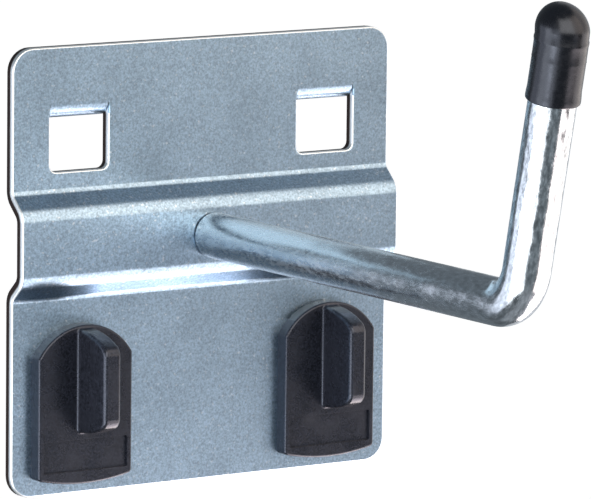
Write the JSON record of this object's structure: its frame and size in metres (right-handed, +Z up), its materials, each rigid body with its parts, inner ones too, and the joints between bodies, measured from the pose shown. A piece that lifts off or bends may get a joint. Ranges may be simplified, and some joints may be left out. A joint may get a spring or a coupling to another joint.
{
  "type": "pegboard hook",
  "caption": "Single upturned hook on a ribbed zinc-plated plate, hung in a square-hole pegboard by lugs bent from its upper openings and held by pull-out locking clips below.",
  "frame": {"origin": "on the plate's back face, which lies on the panel's front face, midway between the two lower openings", "axes": "+Z up the panel, +Y into the panel, +X to the right seen from the front; the hook reaches out along -Y"},
  "size_m": [0.058, 0.0876, 0.0706],
  "materials": {
    "plated_sheet": "zinc plated and blue passivated, fine mottled satin",
    "plated_rod": "zinc plated and blue passivated over drawn bar, satin to bright",
    "cap_vinyl": "dip-moulded soft vinyl, semi-gloss",
    "clip_plastic": "moulded nylon, fine satin texture"
  },
  "bodies": {
    "hook": {"back_plate": "plated_sheet", "hook_rod": "plated_rod", "tip_cap": "cap_vinyl"},
    "left_lock": {"left_lock_clip": "clip_plastic"},
    "right_lock": {"right_lock_clip": "clip_plastic"}
  },
  "joints": [
    {"name": "left_lock_pull", "type": "slide", "parent": "hook", "child": "left_lock", "axis": [0, -1, 0], "range_m": [0, 0.004]},
    {"name": "right_lock_pull", "type": "slide", "parent": "hook", "child": "right_lock", "axis": [0, -1, 0], "range_m": [0, 0.004]}
  ]
}
